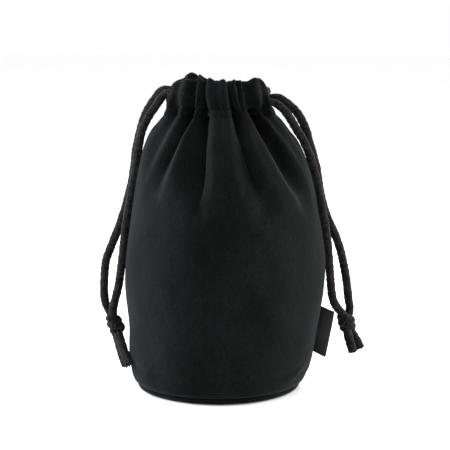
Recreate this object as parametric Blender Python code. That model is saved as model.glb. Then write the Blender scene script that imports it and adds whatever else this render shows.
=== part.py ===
"""Drawstring dice bag: a round-bottomed velveteen pouch about 147 mm tall.

Two wall panels are sewn at the left and right side seams and to a round base.
Their top hems are folded into two casings, front and back, parted by a slit at
each side. A cord enters and leaves the casings at the left slit, another at the
right slit, and the two ends of each cord are tied in an overhand knot.

Metres, +Z up, -Y is the front. The origin is the centre of the base's underside.
"""
import math

import bmesh
import bpy
from mathutils import Matrix, Vector

MM = 0.001

# Cloth
CLOTH = 1.2 * MM  # thickness of the wall cloth
SEAM_GAP = 0.4 * MM  # between the two panels, and between the walls and the base
ALLOWANCE = 6.0 * MM  # seam allowance turned inwards at each side seam

# Base
BASE_RIM = 3.4 * MM  # how far the base cloth turns up at its seam
BASE_CLOTH = 1.4 * MM
BOARD = 1.2 * MM  # stiffening board that lies on the base cloth
BASE_SEGMENTS = 48

# Wall
WALL_FOOT = BASE_RIM + SEAM_GAP
WALL_HEAD = 128.0 * MM
WALL_ROWS = 16
WALL_SEGMENTS = 26  # round each panel

# Outline of the wall: height, left edge, right edge, half depth
WALL_STATIONS = [
    (0.0, -37.2, 37.2, 37.2),
    (3.5, -38.8, 39.4, 39.0),
    (10.5, -39.8, 42.2, 40.6),
    (29.0, -41.2, 46.4, 42.4),
    (48.5, -43.4, 49.4, 44.0),
    (60.0, -42.5, 49.6, 43.8),
    (84.0, -39.2, 46.0, 40.8),
    (102.5, -36.0, 42.0, 36.4),
    (116.0, -32.6, 35.8, 29.0),
    (124.0, -28.2, 30.0, 21.5),
    (128.0, -25.6, 27.2, 17.4),
    (134.0, -23.4, 24.6, 15.4),
]

# Casings, the two folded hems that the cords run in
CASING_FOOT = 130.0 * MM
CASING_TOP = 146.0 * MM
CASING_DEPTH = 6.2 * MM
CASING_LEFT, CASING_RIGHT = -22.5 * MM, 23.5 * MM  # the ends, at the two slits
CASING_END_Y = 6.0 * MM  # how far the channel's middle is from the mouth's centre plane at the slits
CASING_MID_Y = 12.0 * MM  # and half way between them
CASING_SEGMENTS = 16
CAVITY_FOOT = 133.0 * MM
HEM_HINGE_Y = 10.0 * MM  # the line that each casing folds outwards about
HEM_HINGE_Z = 129.0 * MM
THREAD = 0.6 * MM
STITCH_LINE = 131.4 * MM

# Cords
CORD = 3.2 * MM
CORD_SIDES = 2  # bevel resolution
CORD_STEP = 7.0 * MM  # distance between a tube's points
END_GAP = 2.0 * MM  # between the stretch at a casing and the hanging strand, which swings
BIGHT_GAP = 1.0 * MM  # between a casing's end and the cord that crosses the slit there
LEFT_LEVEL = 141.4 * MM  # height of the left cord inside the casings
RIGHT_LEVEL = 135.2 * MM

# Routes of the cord ends outside the bag, in millimetres, from casing to knot
LEFT_BACK = [
    (-22.9, 6.0, 141.6), (-25.2, 5.2, 141.4), (-27.5, 4.2, 140.2), (-30.2, 3.4, 137.0),
    (-32.2, 3.0, 133.4), (-34.0, 2.8, 129.5), (-35.5, 2.7, 125.0), (-36.7, 2.6, 119.5),
    (-37.7, 2.6, 113.5), (-38.5, 2.6, 108.0), (-39.2, 2.6, 102.5), (-40.2, 2.6, 96.5),
    (-41.6, 2.6, 91.0), (-43.2, 2.6, 85.0), (-45.0, 2.6, 79.5), (-47.0, 2.6, 74.0),
    (-49.0, 2.6, 69.0), (-51.0, 2.5, 64.0), (-52.5, 2.4, 60.0), (-53.2, 2.4, 55.5),
    (-53.6, 2.4, 49.5), (-53.7, 2.3, 44.0), (-53.2, 2.2, 39.6), (-51.9, 2.0, 36.2),
]
LEFT_FRONT = [
    (-22.9, -6.0, 140.6), (-25.2, -5.2, 139.4), (-27.5, -4.4, 136.4), (-29.8, -3.8, 133.0),
    (-31.6, -3.4, 130.2), (-33.4, -3.1, 126.0), (-34.9, -3.0, 121.5), (-36.1, -3.0, 116.5),
    (-36.9, -3.0, 111.0), (-38.0, -3.0, 105.0), (-39.1, -3.0, 98.0), (-40.4, -3.0, 91.0),
    (-41.7, -3.0, 83.5), (-42.9, -3.0, 76.5), (-43.7, -3.0, 69.5), (-44.5, -3.0, 62.5),
    (-45.3, -2.9, 56.5), (-46.4, -2.7, 49.0), (-47.7, -2.5, 43.5), (-48.9, -2.3, 39.0),
    (-49.3, -2.2, 36.4),
]
RIGHT_BACK = [
    (24.1, 6.0, 135.8), (26.4, 5.4, 137.4), (28.8, 4.6, 137.8), (32.5, 4.0, 135.0),
    (35.5, 3.6, 132.0), (38.0, 3.4, 128.6), (39.9, 3.2, 124.4), (41.2, 3.1, 120.2),
    (42.6, 3.0, 115.0), (44.4, 3.0, 109.0), (45.9, 3.0, 103.5), (46.8, 3.0, 98.0),
    (47.8, 3.0, 92.0), (49.1, 3.0, 86.5), (50.8, 3.0, 81.0), (53.0, 2.9, 76.0),
    (55.4, 2.8, 70.5), (57.5, 2.7, 64.4), (59.0, 2.6, 58.0), (60.2, 2.5, 52.0),
    (61.0, 2.4, 46.0), (61.6, 2.2, 40.6), (62.2, 2.0, 37.0),
]
RIGHT_FRONT = [
    (24.3, -6.0, 135.0), (26.4, -5.4, 134.6), (28.8, -4.8, 133.4), (31.2, -4.2, 131.2),
    (33.2, -3.8, 128.6), (35.2, -3.5, 125.0), (37.3, -3.3, 121.0), (39.2, -3.2, 117.2),
    (40.8, -3.1, 113.6), (42.7, -3.1, 109.0), (44.6, -3.1, 102.5), (46.0, -3.1, 97.0),
    (47.2, -3.1, 91.0), (48.6, -3.1, 83.5), (50.0, -3.1, 76.5), (51.0, -3.1, 69.5),
    (51.7, -3.1, 62.5), (52.2, -3.1, 56.5), (52.8, -3.0, 49.5), (53.4, -2.9, 44.0),
    (54.5, -2.6, 40.2), (56.2, -2.3, 37.4), (57.9, -2.1, 35.4),
]
EXIT_POINTS = 3  # the first points of each route belong to the stretch at the casing's end

# Knots: centre, lean from upright about Y in degrees, half sizes, and the two tails below
KNOT_HALF = (3.5, 3.7, 5.3)
LEFT_KNOT = ((-48.3, -0.3, 28.9), -24.0)
RIGHT_KNOT = ((60.9, -0.2, 29.9), -4.0)
LEFT_TAILS = {
    "front": [(-45.2, -2.6, 22.6), (-43.6, -5.4, 17.4), (-41.6, -8.2, 12.2)],
    "back": [(-46.4, 1.8, 22.2), (-45.2, 0.4, 17.0), (-43.6, -1.6, 12.0)],
}
RIGHT_TAILS = {
    "front": [(60.3, -2.0, 23.6), (60.4, -2.6, 20.4), (61.3, -3.0, 16.4)],
    "back": [(63.2, 1.9, 24.4), (65.2, 2.3, 21.6), (67.4, 2.5, 18.0)],
}

# Side label: a ribbon folded double and caught in the right seam
LABEL_INNER = ((48.9, 0.0, 38.2), (44.6, 0.0, 16.6))  # top and bottom corners at the seam
LABEL_OUTER = ((54.3, -2.2, 35.6), (50.2, -2.2, 14.0))
LABEL_THICK = 1.0 * MM
LABEL_FOLDS = 5


# ---------------------------------------------------------------- shapes


def clear_scene():
    for obj in list(bpy.data.objects):
        bpy.data.objects.remove(obj)


def material(name, colour, roughness):
    made = bpy.data.materials.new(name)
    made.use_nodes = True
    shader = made.node_tree.nodes["Principled BSDF"]
    shader.inputs["Base Color"].default_value = (*colour, 1.0)
    shader.inputs["Roughness"].default_value = roughness
    shader.inputs["Metallic"].default_value = 0.0
    return made


def mesh_object(name, bm, finish):
    """A shaded object from a bmesh, with its faces turned outwards."""
    bmesh.ops.recalc_face_normals(bm, faces=bm.faces)
    mesh = bpy.data.meshes.new(name)
    bm.to_mesh(mesh)
    bm.free()
    mesh.shade_smooth()
    mesh.set_sharp_from_angle(angle=math.radians(40))
    mesh.materials.append(finish)
    obj = bpy.data.objects.new(name, mesh)
    bpy.context.scene.collection.objects.link(obj)
    return obj


def hermite(rows, at, column):
    """A smooth value of a column at a height, from rows sorted by their first number."""
    last = len(rows) - 1
    i = 0
    while i < last - 1 and at > rows[i + 1][0]:
        i += 1

    def slope(k):
        low, high = rows[max(k - 1, 0)], rows[min(k + 1, last)]
        return (high[column] - low[column]) / (high[0] - low[0])

    span = rows[i + 1][0] - rows[i][0]
    t = min(max((at - rows[i][0]) / span, 0.0), 1.0)
    return (
        (2 * t**3 - 3 * t**2 + 1) * rows[i][column]
        + (t**3 - 2 * t**2 + t) * span * slope(i)
        + (3 * t**2 - 2 * t**3) * rows[i + 1][column]
        + (t**3 - t**2) * span * slope(i + 1)
    )


def outline(z, inset=0.0):
    """(left edge, right edge, half depth) of the wall at a height, in metres."""
    left, right, depth = (hermite(WALL_STATIONS, z / MM, k) * MM for k in (1, 2, 3))
    return left + inset, right - inset, depth - inset


def oval_ring(z, inset, segments):
    left, right, depth = outline(z, inset)
    middle, half = (left + right) / 2, (right - left) / 2
    turns = [2 * math.pi * i / segments for i in range(segments)]
    return [Vector((middle + half * math.cos(a), depth * math.sin(a), z)) for a in turns]


def bridged(bm, rows, closed_rows):
    """Faces between the vertices of each pair of neighbouring rows."""
    around = len(rows[0])
    for low, high in zip(rows, rows[1:]):
        for i in range(around if closed_rows else around - 1):
            j = (i + 1) % around
            bm.faces.new((low[i], low[j], high[j], high[i]))


def ring_solid(name, rings, finish):
    """A closed solid through rings of equal length, whose two end rings are filled with fans."""
    bm = bmesh.new()
    rows = [[bm.verts.new(p) for p in ring] for ring in rings]
    bridged(bm, rows, closed_rows=True)
    for ring, row in ((rings[0], rows[0]), (rings[-1], rows[-1])):
        centre = bm.verts.new(sum(ring, Vector()) / len(ring))
        for i, vertex in enumerate(row):
            bm.faces.new((vertex, row[(i + 1) % len(row)], centre))
    return mesh_object(name, bm, finish)


def swept_loop(name, stations, finish):
    """A closed ring-shaped band: each station is a closed loop, and the last joins the first."""
    bm = bmesh.new()
    rows = [[bm.verts.new(p) for p in loop] for loop in stations]
    bridged(bm, rows + [rows[0]], closed_rows=True)
    return mesh_object(name, bm, finish)


def swept_tube(name, outer, inner, finish):
    """A tube with a wall, open at both ends, from matching loops of its two surfaces."""
    bm = bmesh.new()
    skins = [[[bm.verts.new(p) for p in loop] for loop in rows] for rows in (outer, inner)]
    for rows in skins:
        bridged(bm, rows, closed_rows=True)
    for end in (0, -1):
        bridged(bm, [skins[0][end], skins[1][end]], closed_rows=True)
    return mesh_object(name, bm, finish)


# ---------------------------------------------------------------- bag


def panel_section(z, side):
    """Matching outer and inner points of a panel at a height: side is -1 for the front, 1 for the back."""
    left, right, depth = outline(z)
    middle, half = (left + right) / 2, (right - left) / 2
    seam_y = side * SEAM_GAP / 2
    outer = [Vector((left + ALLOWANCE, seam_y, z))]
    inner = [Vector((left + ALLOWANCE, seam_y + side * CLOTH, z))]
    for i in range(WALL_SEGMENTS + 1):
        a = math.pi * (1 - i / WALL_SEGMENTS)
        reach = math.sin(a)
        outer.append(Vector((middle + half * math.cos(a), seam_y + side * depth * reach, z)))
        inner_y = max((depth - CLOTH) * reach, CLOTH)
        inner.append(Vector((middle + (half - CLOTH) * math.cos(a), seam_y + side * inner_y, z)))
    outer.append(Vector((right - ALLOWANCE, seam_y, z)))
    inner.append(Vector((right - ALLOWANCE, seam_y + side * CLOTH, z)))
    return outer, inner


def wall_panel(name, side, finish):
    """One wall panel with its two seam allowances turned in."""
    bm = bmesh.new()
    outer_rows, inner_rows = [], []
    for k in range(WALL_ROWS + 1):
        z = WALL_FOOT + (WALL_HEAD - WALL_FOOT) * k / WALL_ROWS
        outer, inner = panel_section(z, side)
        outer_rows.append([bm.verts.new(p) for p in outer])
        inner_rows.append([bm.verts.new(p) for p in inner])
    bridged(bm, outer_rows, closed_rows=False)
    bridged(bm, inner_rows, closed_rows=False)
    for k in (0, -1):
        bridged(bm, [outer_rows[k], inner_rows[k]], closed_rows=False)
    for i in (0, -1):
        edges = [[row[i] for row in rows] for rows in (outer_rows, inner_rows)]
        bridged(bm, edges, closed_rows=False)
    return mesh_object(name, bm, finish)


def base_dish(finish):
    """The round base cloth, turned up at its rim to meet the walls."""
    rings = [
        oval_ring(0.0, 1.0 * MM, BASE_SEGMENTS),
        oval_ring(0.8 * MM, 0.2 * MM, BASE_SEGMENTS),
        oval_ring(BASE_RIM, 0.2 * MM, BASE_SEGMENTS),
        oval_ring(BASE_RIM, BASE_CLOTH, BASE_SEGMENTS),
        oval_ring(BASE_CLOTH, BASE_CLOTH + 0.4 * MM, BASE_SEGMENTS),
    ]
    return ring_solid("base_disc", rings, finish)


def base_board(finish):
    """The round board that lies on the base cloth and keeps it flat."""
    low = BASE_CLOTH + SEAM_GAP
    inset = BASE_CLOTH + 1.2 * MM
    rings = []
    for z in (low, low + BOARD):
        flat = oval_ring(BASE_CLOTH, inset, BASE_SEGMENTS)
        rings.append([Vector((p.x, p.y, z)) for p in flat])
    return ring_solid("base_stiffener", rings, finish)


def side_label(finish):
    """The folded ribbon in the right seam, slightly bowed."""
    bm = bmesh.new()
    top_in, low_in, top_out, low_out = (Vector(p) * MM for p in LABEL_INNER + LABEL_OUTER)
    rows = []
    for k in range(LABEL_FOLDS + 1):
        t = k / LABEL_FOLDS
        bow = Vector((0.0, -1.2 * MM * math.sin(math.pi * t), 0.0))
        top = top_in.lerp(top_out, t) + bow
        low = low_in.lerp(low_out, t) + bow
        half = Vector((0.0, LABEL_THICK / 2, 0.0))
        rows.append([bm.verts.new(p) for p in (top - half, low - half, low + half, top + half)])
    bridged(bm, rows, closed_rows=True)
    bm.faces.new(rows[0])
    bm.faces.new(rows[-1])
    return mesh_object("label_tab", bm, finish)


# ---------------------------------------------------------------- casings


def channel_middle(share, side):
    """A point of the channel's middle line in plan, and the direction out of the mouth there."""
    u = 2 * share - 1
    x = (CASING_LEFT + CASING_RIGHT) / 2 + u * (CASING_RIGHT - CASING_LEFT) / 2
    y = CASING_END_Y + (CASING_MID_Y - CASING_END_Y) * (1 - u * u)
    slope = -2 * u * (CASING_MID_Y - CASING_END_Y) * 2 / (CASING_RIGHT - CASING_LEFT)
    out = Vector((-slope, 1.0)).normalized()
    return Vector((x, side * y)), Vector((out.x, side * out.y))


def channel_loop(share, side, low, high, half_depth):
    """A rounded upright loop round the channel's middle line."""
    middle, out = channel_middle(share, side)
    corner = min(half_depth, 2.2 * MM) * 0.999
    loop = []
    for cx, cz, start in (
        (1, high - corner, 0.0), (-1, high - corner, math.pi / 2),
        (-1, low + corner, math.pi), (1, low + corner, 1.5 * math.pi),
    ):
        for k in range(3):
            a = start + k * math.pi / 4
            offset = cx * (half_depth - corner) + corner * math.cos(a)
            plan = middle + out * offset
            loop.append(Vector((plan.x, plan.y, cz + corner * math.sin(a))))
    return loop


def casing(name, side, finish):
    shares = [i / CASING_SEGMENTS for i in range(CASING_SEGMENTS + 1)]
    outer = [channel_loop(s, side, CASING_FOOT, CASING_TOP, CASING_DEPTH / 2) for s in shares]
    inner = [
        channel_loop(s, side, CAVITY_FOOT, CASING_TOP - CLOTH, CASING_DEPTH / 2 - 1.0 * MM)
        for s in shares
    ]
    return swept_tube(name, outer, inner, finish)


def casing_thread(name, side, finish):
    """The row of stitches that closes a casing, as one thin thread on its outer face."""
    stations = []
    for i in range(CASING_SEGMENTS + 1):
        middle, out = channel_middle(0.02 + 0.96 * i / CASING_SEGMENTS, side)
        near, far = (CASING_DEPTH / 2 + 0.3 * MM + t for t in (0.0, THREAD))
        stations.append([
            Vector((*(middle + out * far), STITCH_LINE + THREAD / 2)),
            Vector((*(middle + out * near), STITCH_LINE + THREAD / 2)),
            Vector((*(middle + out * near), STITCH_LINE - THREAD / 2)),
            Vector((*(middle + out * far), STITCH_LINE - THREAD / 2)),
        ])
    return ring_solid(name, stations, finish)


# ---------------------------------------------------------------- cords


def smooth_route(points, step):
    """Points about a step apart on a smooth curve through the given points."""
    fine = []
    last = len(points) - 1
    for i in range(last):
        p0, p1, p2, p3 = (points[min(max(i + k, 0), last)] for k in (-1, 0, 1, 2))
        for k in range(12):
            t = k / 12
            fine.append(0.5 * (
                2 * p1 + (p2 - p0) * t + (2 * p0 - 5 * p1 + 4 * p2 - p3) * t**2
                + (3 * p1 - p0 - 3 * p2 + p3) * t**3
            ))
    fine.append(points[-1])
    along = [0.0]
    for a, b in zip(fine, fine[1:]):
        along.append(along[-1] + (b - a).length)
    count = max(2, round(along[-1] / step))
    made, k = [], 0
    for n in range(count + 1):
        at = along[-1] * n / count
        while k < len(along) - 2 and along[k + 1] < at:
            k += 1
        share = (at - along[k]) / (along[k + 1] - along[k])
        made.append(fine[k].lerp(fine[k + 1], share))
    return made


def cord_tube(name, points, finish, step=CORD_STEP):
    """A plain tube along a route, as a curve with filled caps."""
    curve = bpy.data.curves.new(name, "CURVE")
    curve.dimensions = "3D"
    curve.bevel_depth = CORD / 2
    curve.bevel_resolution = CORD_SIDES
    curve.use_fill_caps = True
    route = smooth_route(points, step)
    spline = curve.splines.new("POLY")
    spline.points.add(len(route) - 1)
    for point, place in zip(spline.points, route):
        point.co = (*place, 1.0)
    curve.materials.append(finish)
    obj = bpy.data.objects.new(name, curve)
    bpy.context.scene.collection.objects.link(obj)
    return obj


def in_metres(points):
    return [Vector(p) * MM for p in points]


def casing_run(name, side, level, finish):
    """The stretch of a cord inside a casing, from one slit to the other."""
    points = []
    for i in range(9):
        middle, _ = channel_middle(0.03 + 0.94 * i / 8, side)
        points.append(Vector((*middle, level)))
    return cord_tube(name, points, finish, step=5.0 * MM)


def bight(name, x, bulge, level, finish):
    """Where a cord crosses the far slit, from the front casing to the back one."""
    return cord_tube(name, [
        Vector((x, -CASING_END_Y, level)),
        Vector((x + 0.8 * bulge, -CASING_END_Y * 0.72, level)),
        Vector((x + bulge, 0.0, level)),
        Vector((x + 0.8 * bulge, CASING_END_Y * 0.72, level)),
        Vector((x, CASING_END_Y, level)),
    ], finish, step=2.4 * MM)


def cord_ends(side_name, routes, finish):
    """The exit stretch and the hanging strand of each end of a cord."""
    for which, route in routes.items():
        points = in_metres(route)
        away = (points[EXIT_POINTS] - points[EXIT_POINTS - 1]).normalized() * END_GAP
        cord_tube(f"{side_name}_cord_{which}_exit", points[:EXIT_POINTS], finish, 2.6 * MM)
        hanging = [points[EXIT_POINTS - 1] + away] + points[EXIT_POINTS:]
        cord_tube(f"{side_name}_cord_{which}_strand", hanging, finish)


def knot(name, place, finish):
    """A plain body for a tied knot: an egg-shaped ball leaning with the cord."""
    centre, lean = place
    bm = bmesh.new()
    bmesh.ops.create_icosphere(bm, subdivisions=2, radius=1.0)
    size = Matrix.Diagonal((*(h * MM for h in KNOT_HALF), 1.0))
    turn = Matrix.Rotation(math.radians(lean), 4, "Y")
    bmesh.ops.transform(bm, matrix=turn @ size, verts=bm.verts)
    obj = mesh_object(name, bm, finish)
    obj.location = Vector(centre) * MM
    return obj


def tails(side_name, routes, finish):
    for which, route in routes.items():
        cord_tube(f"{side_name}_cord_{which}_tail", in_metres(route), finish, 4.0 * MM)


def main():
    clear_scene()
    velveteen = material("velveteen", (0.012, 0.014, 0.015), 0.95)
    cord_cotton = material("cord", (0.010, 0.010, 0.011), 0.9)
    ribbon = material("ribbon", (0.006, 0.006, 0.006), 0.7)
    thread = material("thread", (0.020, 0.021, 0.022), 0.6)
    board = material("board", (0.05, 0.045, 0.04), 0.85)

    base_dish(velveteen)
    base_board(board)
    for name, side in (("front", -1), ("back", 1)):
        wall_panel(f"{name}_panel", side, velveteen)
        casing(f"{name}_casing", side, velveteen)
        casing_thread(f"{name}_casing_thread", side, thread)
        casing_run(f"left_cord_{name}_run", side, LEFT_LEVEL, cord_cotton)
        casing_run(f"right_cord_{name}_run", side, RIGHT_LEVEL, cord_cotton)
    side_label(ribbon)

    bight("left_cord_bight", CASING_RIGHT + BIGHT_GAP, 1.4 * MM, LEFT_LEVEL, cord_cotton)
    bight("right_cord_bight", CASING_LEFT - BIGHT_GAP, -1.4 * MM, RIGHT_LEVEL - 0.4 * MM, cord_cotton)
    cord_ends("left", {"front": LEFT_FRONT, "back": LEFT_BACK}, cord_cotton)
    cord_ends("right", {"front": RIGHT_FRONT, "back": RIGHT_BACK}, cord_cotton)
    knot("left_knot", LEFT_KNOT, cord_cotton)
    knot("right_knot", RIGHT_KNOT, cord_cotton)
    tails("left", LEFT_TAILS, cord_cotton)
    tails("right", RIGHT_TAILS, cord_cotton)


main()
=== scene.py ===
"""Drawstring dice bag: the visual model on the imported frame.

Metres, +Z up, -Y is the front. Shapes are worked out in millimetres and put down in metres.
"""
import math

import bpy
import numpy as np
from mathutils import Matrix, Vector, noise


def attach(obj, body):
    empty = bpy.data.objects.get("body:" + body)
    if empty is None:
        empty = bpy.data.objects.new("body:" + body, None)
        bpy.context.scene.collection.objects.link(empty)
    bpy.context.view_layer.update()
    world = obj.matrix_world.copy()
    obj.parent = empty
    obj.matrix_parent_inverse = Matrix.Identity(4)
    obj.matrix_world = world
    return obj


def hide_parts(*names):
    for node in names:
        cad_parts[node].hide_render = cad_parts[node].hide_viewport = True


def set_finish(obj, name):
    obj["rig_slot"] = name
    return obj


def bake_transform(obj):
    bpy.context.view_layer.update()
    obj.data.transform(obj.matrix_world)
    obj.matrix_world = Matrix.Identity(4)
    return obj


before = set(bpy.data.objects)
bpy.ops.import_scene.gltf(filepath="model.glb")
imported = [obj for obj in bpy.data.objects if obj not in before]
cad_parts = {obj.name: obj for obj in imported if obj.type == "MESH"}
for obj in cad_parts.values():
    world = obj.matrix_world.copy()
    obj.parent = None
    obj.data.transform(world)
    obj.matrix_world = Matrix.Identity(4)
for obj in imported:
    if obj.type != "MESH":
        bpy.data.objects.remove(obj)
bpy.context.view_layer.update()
MM = 0.001

# ---------------------------------------------------------------- camera, light and stage

VIEW_CENTRE = Vector((3.3, 0.0, 76.6)) * MM
VIEW_DISTANCE = 0.75
VIEW_PITCH = math.radians(9.0)
VIEW_WIDTH = 0.2102  # of the frame, at the bag


def look_at(obj, target):
    obj.rotation_euler = (Vector(target) - obj.location).to_track_quat("-Z", "Y").to_euler()


def make_camera():
    data = bpy.data.cameras.new("camera")
    data.sensor_width = 36.0
    data.lens = 36.0 * VIEW_DISTANCE / VIEW_WIDTH
    data.clip_start = 0.01
    camera = bpy.data.objects.new("camera", data)
    bpy.context.scene.collection.objects.link(camera)
    back = Vector((0.0, -math.cos(VIEW_PITCH), math.sin(VIEW_PITCH)))
    camera.location = VIEW_CENTRE + back * VIEW_DISTANCE
    look_at(camera, VIEW_CENTRE)
    bpy.context.scene.camera = camera


def area_light(name, place, target, size, power, colour=(1.0, 1.0, 1.0)):
    data = bpy.data.lights.new(name, "AREA")
    data.shape = "RECTANGLE"
    data.size, data.size_y = size
    data.energy = power
    data.color = colour
    lamp = bpy.data.objects.new(name, data)
    bpy.context.scene.collection.objects.link(lamp)
    lamp.location = place
    look_at(lamp, target)


# ---------------------------------------------------------------- materials


class Nodes:
    """Short calls for building a material's nodes."""

    def __init__(self, name):
        self.made = bpy.data.materials.new(name)
        self.made.use_nodes = True
        self.tree = self.made.node_tree
        self.shader = self.tree.nodes["Principled BSDF"]

    def new(self, kind, **settings):
        node = self.tree.nodes.new(kind)
        for key, value in settings.items():
            if key in node.inputs:
                node.inputs[key].default_value = value
            else:
                setattr(node, key.lower(), value)
        return node

    def join(self, source, target):
        self.tree.links.new(source, target)

    def coordinates(self, scale=(1.0, 1.0, 1.0)):
        where = self.new("ShaderNodeTexCoord")
        mapping = self.new("ShaderNodeMapping")
        mapping.inputs["Scale"].default_value = scale
        self.join(where.outputs["Object"], mapping.inputs["Vector"])
        return mapping.outputs["Vector"]

    def noise(self, vector, scale, detail=2.0, rough=0.5):
        node = self.new("ShaderNodeTexNoise", Scale=scale, Detail=detail, Roughness=rough)
        self.join(vector, node.inputs["Vector"])
        return node.outputs["Fac"]

    def ramp(self, value, low, high, a, b):
        """Colour a up to low and b from high, and between them a blend."""
        node = self.new("ShaderNodeValToRGB")
        node.color_ramp.elements[0].position = low
        node.color_ramp.elements[1].position = high
        node.color_ramp.elements[0].color = (*a, 1.0)
        node.color_ramp.elements[1].color = (*b, 1.0)
        self.join(value, node.inputs["Fac"])
        return node.outputs["Color"]

    def mix(self, share, a, b, kind="MIX"):
        node = self.new("ShaderNodeMix", data_type="RGBA", blend_type=kind)
        for value, socket in ((share, node.inputs[0]), (a, node.inputs[6]), (b, node.inputs[7])):
            if isinstance(value, (int, float)):
                socket.default_value = value
            elif isinstance(value, tuple):
                socket.default_value = (*value, 1.0)
            else:
                self.join(value, socket)
        return node.outputs[2]

    def span(self, value, low, high, to_low, to_high):
        node = self.new("ShaderNodeMapRange")
        numbers = {"From Min": low, "From Max": high, "To Min": to_low, "To Max": to_high}
        for name, number in numbers.items():
            node.inputs[name].default_value = number
        self.join(value, node.inputs["Value"])
        return node.outputs["Result"]

    def bump(self, height, strength, distance, after=None):
        node = self.new("ShaderNodeBump", Strength=strength, Distance=distance)
        self.join(height, node.inputs["Height"])
        if after is not None:
            self.join(after, node.inputs["Normal"])
        return node.outputs["Normal"]

    def finish(self, **sockets):
        for key, value in sockets.items():
            socket = self.shader.inputs[key.replace("_", " ")]
            if hasattr(value, "is_output"):
                self.join(value, socket)
            else:
                socket.default_value = value
        return self.made


def velveteen():
    """Black short-pile cloth: soft brushed patches whose lighter, bluish tone is painted sheen, a fine pile
    and a pale sheen at its edges.
    """
    m = Nodes("velveteen")
    at = m.coordinates()
    brushed_and_sheen_patches = m.noise(m.coordinates((1.0, 1.0, 0.55)), 55.0, 4.0, 0.62)
    mottle = m.noise(at, 620.0, 3.0, 0.6)
    pile = m.noise(m.coordinates((1.0, 1.0, 0.6)), 1900.0, 2.0, 0.6)
    # Painted sheen: the brushed patches' lighter, bluish end stands in for the velvet's mottled shine; the
    # same noise gives the brushed pile its bump.
    colour = m.ramp(brushed_and_sheen_patches, 0.36, 0.66, (0.0021, 0.0021, 0.0021), (0.0047, 0.0050, 0.0051))
    speck = m.ramp(mottle, 0.30, 0.72, (0.80, 0.80, 0.80), (1.16, 1.18, 1.18))
    colour = m.mix(1.0, colour, speck, "MULTIPLY")
    tufts = m.ramp(pile, 0.30, 0.72, (0.50, 0.50, 0.50), (1.62, 1.66, 1.68))
    colour = m.mix(1.0, colour, tufts, "MULTIPLY")
    normal = m.bump(brushed_and_sheen_patches, 0.35, 0.0012)
    normal = m.bump(mottle, 0.30, 0.0003, normal)
    normal = m.bump(pile, 0.70, 0.00026, normal)
    return m.finish(
        Base_Color=colour, Roughness=m.span(mottle, 0.3, 0.7, 0.82, 0.98), Normal=normal,
        Specular_IOR_Level=0.03, Sheen_Weight=0.05, Sheen_Roughness=0.38,
        Sheen_Tint=(0.74, 0.90, 0.97, 1.0),
    )


def braid_cotton():
    """Soft black cord: fine fibres over the braid, faded a little brown in patches."""
    m = Nodes("cord_braid")
    at = m.coordinates()
    fade = m.noise(at, 160.0, 3.0, 0.6)
    fibre = m.noise(m.coordinates((1.0, 1.0, 0.35)), 3800.0, 2.0, 0.6)
    yarn = m.noise(at, 640.0, 2.0, 0.5)
    colour = m.ramp(fade, 0.32, 0.70, (0.0034, 0.0030, 0.0031), (0.0082, 0.0072, 0.0074))
    yarns = m.ramp(yarn, 0.36, 0.64, (0.35, 0.35, 0.35), (1.8, 1.75, 1.75))
    colour = m.mix(1.0, colour, yarns, "MULTIPLY")
    fibres = m.ramp(fibre, 0.3, 0.7, (0.6, 0.6, 0.6), (1.5, 1.5, 1.5))
    colour = m.mix(1.0, colour, fibres, "MULTIPLY")
    return m.finish(
        Base_Color=colour, Roughness=m.span(fibre, 0.3, 0.7, 0.72, 0.95),
        Normal=m.bump(fibre, 0.6, 0.00016, m.bump(yarn, 0.6, 0.0006)),
        Specular_IOR_Level=0.08, Sheen_Weight=0.05, Sheen_Roughness=0.5,
        Sheen_Tint=(1.0, 0.93, 0.93, 1.0),
    )


def satin_ribbon():
    """Black woven label ribbon with fine ribs across it."""
    m = Nodes("label_satin")
    at = m.coordinates()
    ribs = m.new(
        "ShaderNodeTexWave", wave_type="BANDS", bands_direction="Z", Scale=620.0, Distortion=0.6,
    )
    ribs.inputs["Detail Scale"].default_value = 4.0
    m.join(at, ribs.inputs["Vector"])
    slub = m.noise(m.coordinates((1.0, 1.0, 5.0)), 420.0, 3.0, 0.6)
    colour = m.ramp(slub, 0.3, 0.7, (0.0030, 0.0030, 0.0031), (0.0068, 0.0068, 0.0070))
    return m.finish(
        Base_Color=colour, Roughness=m.span(slub, 0.3, 0.7, 0.52, 0.70),
        Normal=m.bump(ribs.outputs["Fac"], 0.25, 0.00010), Specular_IOR_Level=0.25,
        Sheen_Weight=0.08, Sheen_Roughness=0.4,
    )


def sewing_thread():
    m = Nodes("thread")
    twist = m.noise(m.coordinates(), 5200.0, 2.0, 0.6)
    return m.finish(
        Base_Color=m.ramp(twist, 0.3, 0.7, (0.0016, 0.0016, 0.0017), (0.0042, 0.0044, 0.0046)),
        Roughness=m.span(twist, 0.3, 0.7, 0.5, 0.75), Normal=m.bump(twist, 0.5, 0.00008),
        Specular_IOR_Level=0.06,
    )


def fibre_board():
    m = Nodes("board")
    grain = m.noise(m.coordinates((1.0, 3.0, 1.0)), 500.0, 4.0, 0.65)
    return m.finish(
        Base_Color=m.ramp(grain, 0.3, 0.7, (0.030, 0.028, 0.026), (0.060, 0.055, 0.050)),
        Roughness=m.span(grain, 0.3, 0.7, 0.75, 0.95), Normal=m.bump(grain, 0.3, 0.0001),
        Specular_IOR_Level=0.2,
    )


def pale_floor():
    m = Nodes("floor")
    fine = m.noise(m.coordinates(), 30.0, 2.0, 0.5)
    return m.finish(
        Base_Color=m.ramp(fine, 0.3, 0.7, (0.93, 0.93, 0.93), (0.95, 0.95, 0.95)),
        Roughness=0.22, Specular_IOR_Level=0.35,
    )


# ---------------------------------------------------------------- meshes


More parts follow.
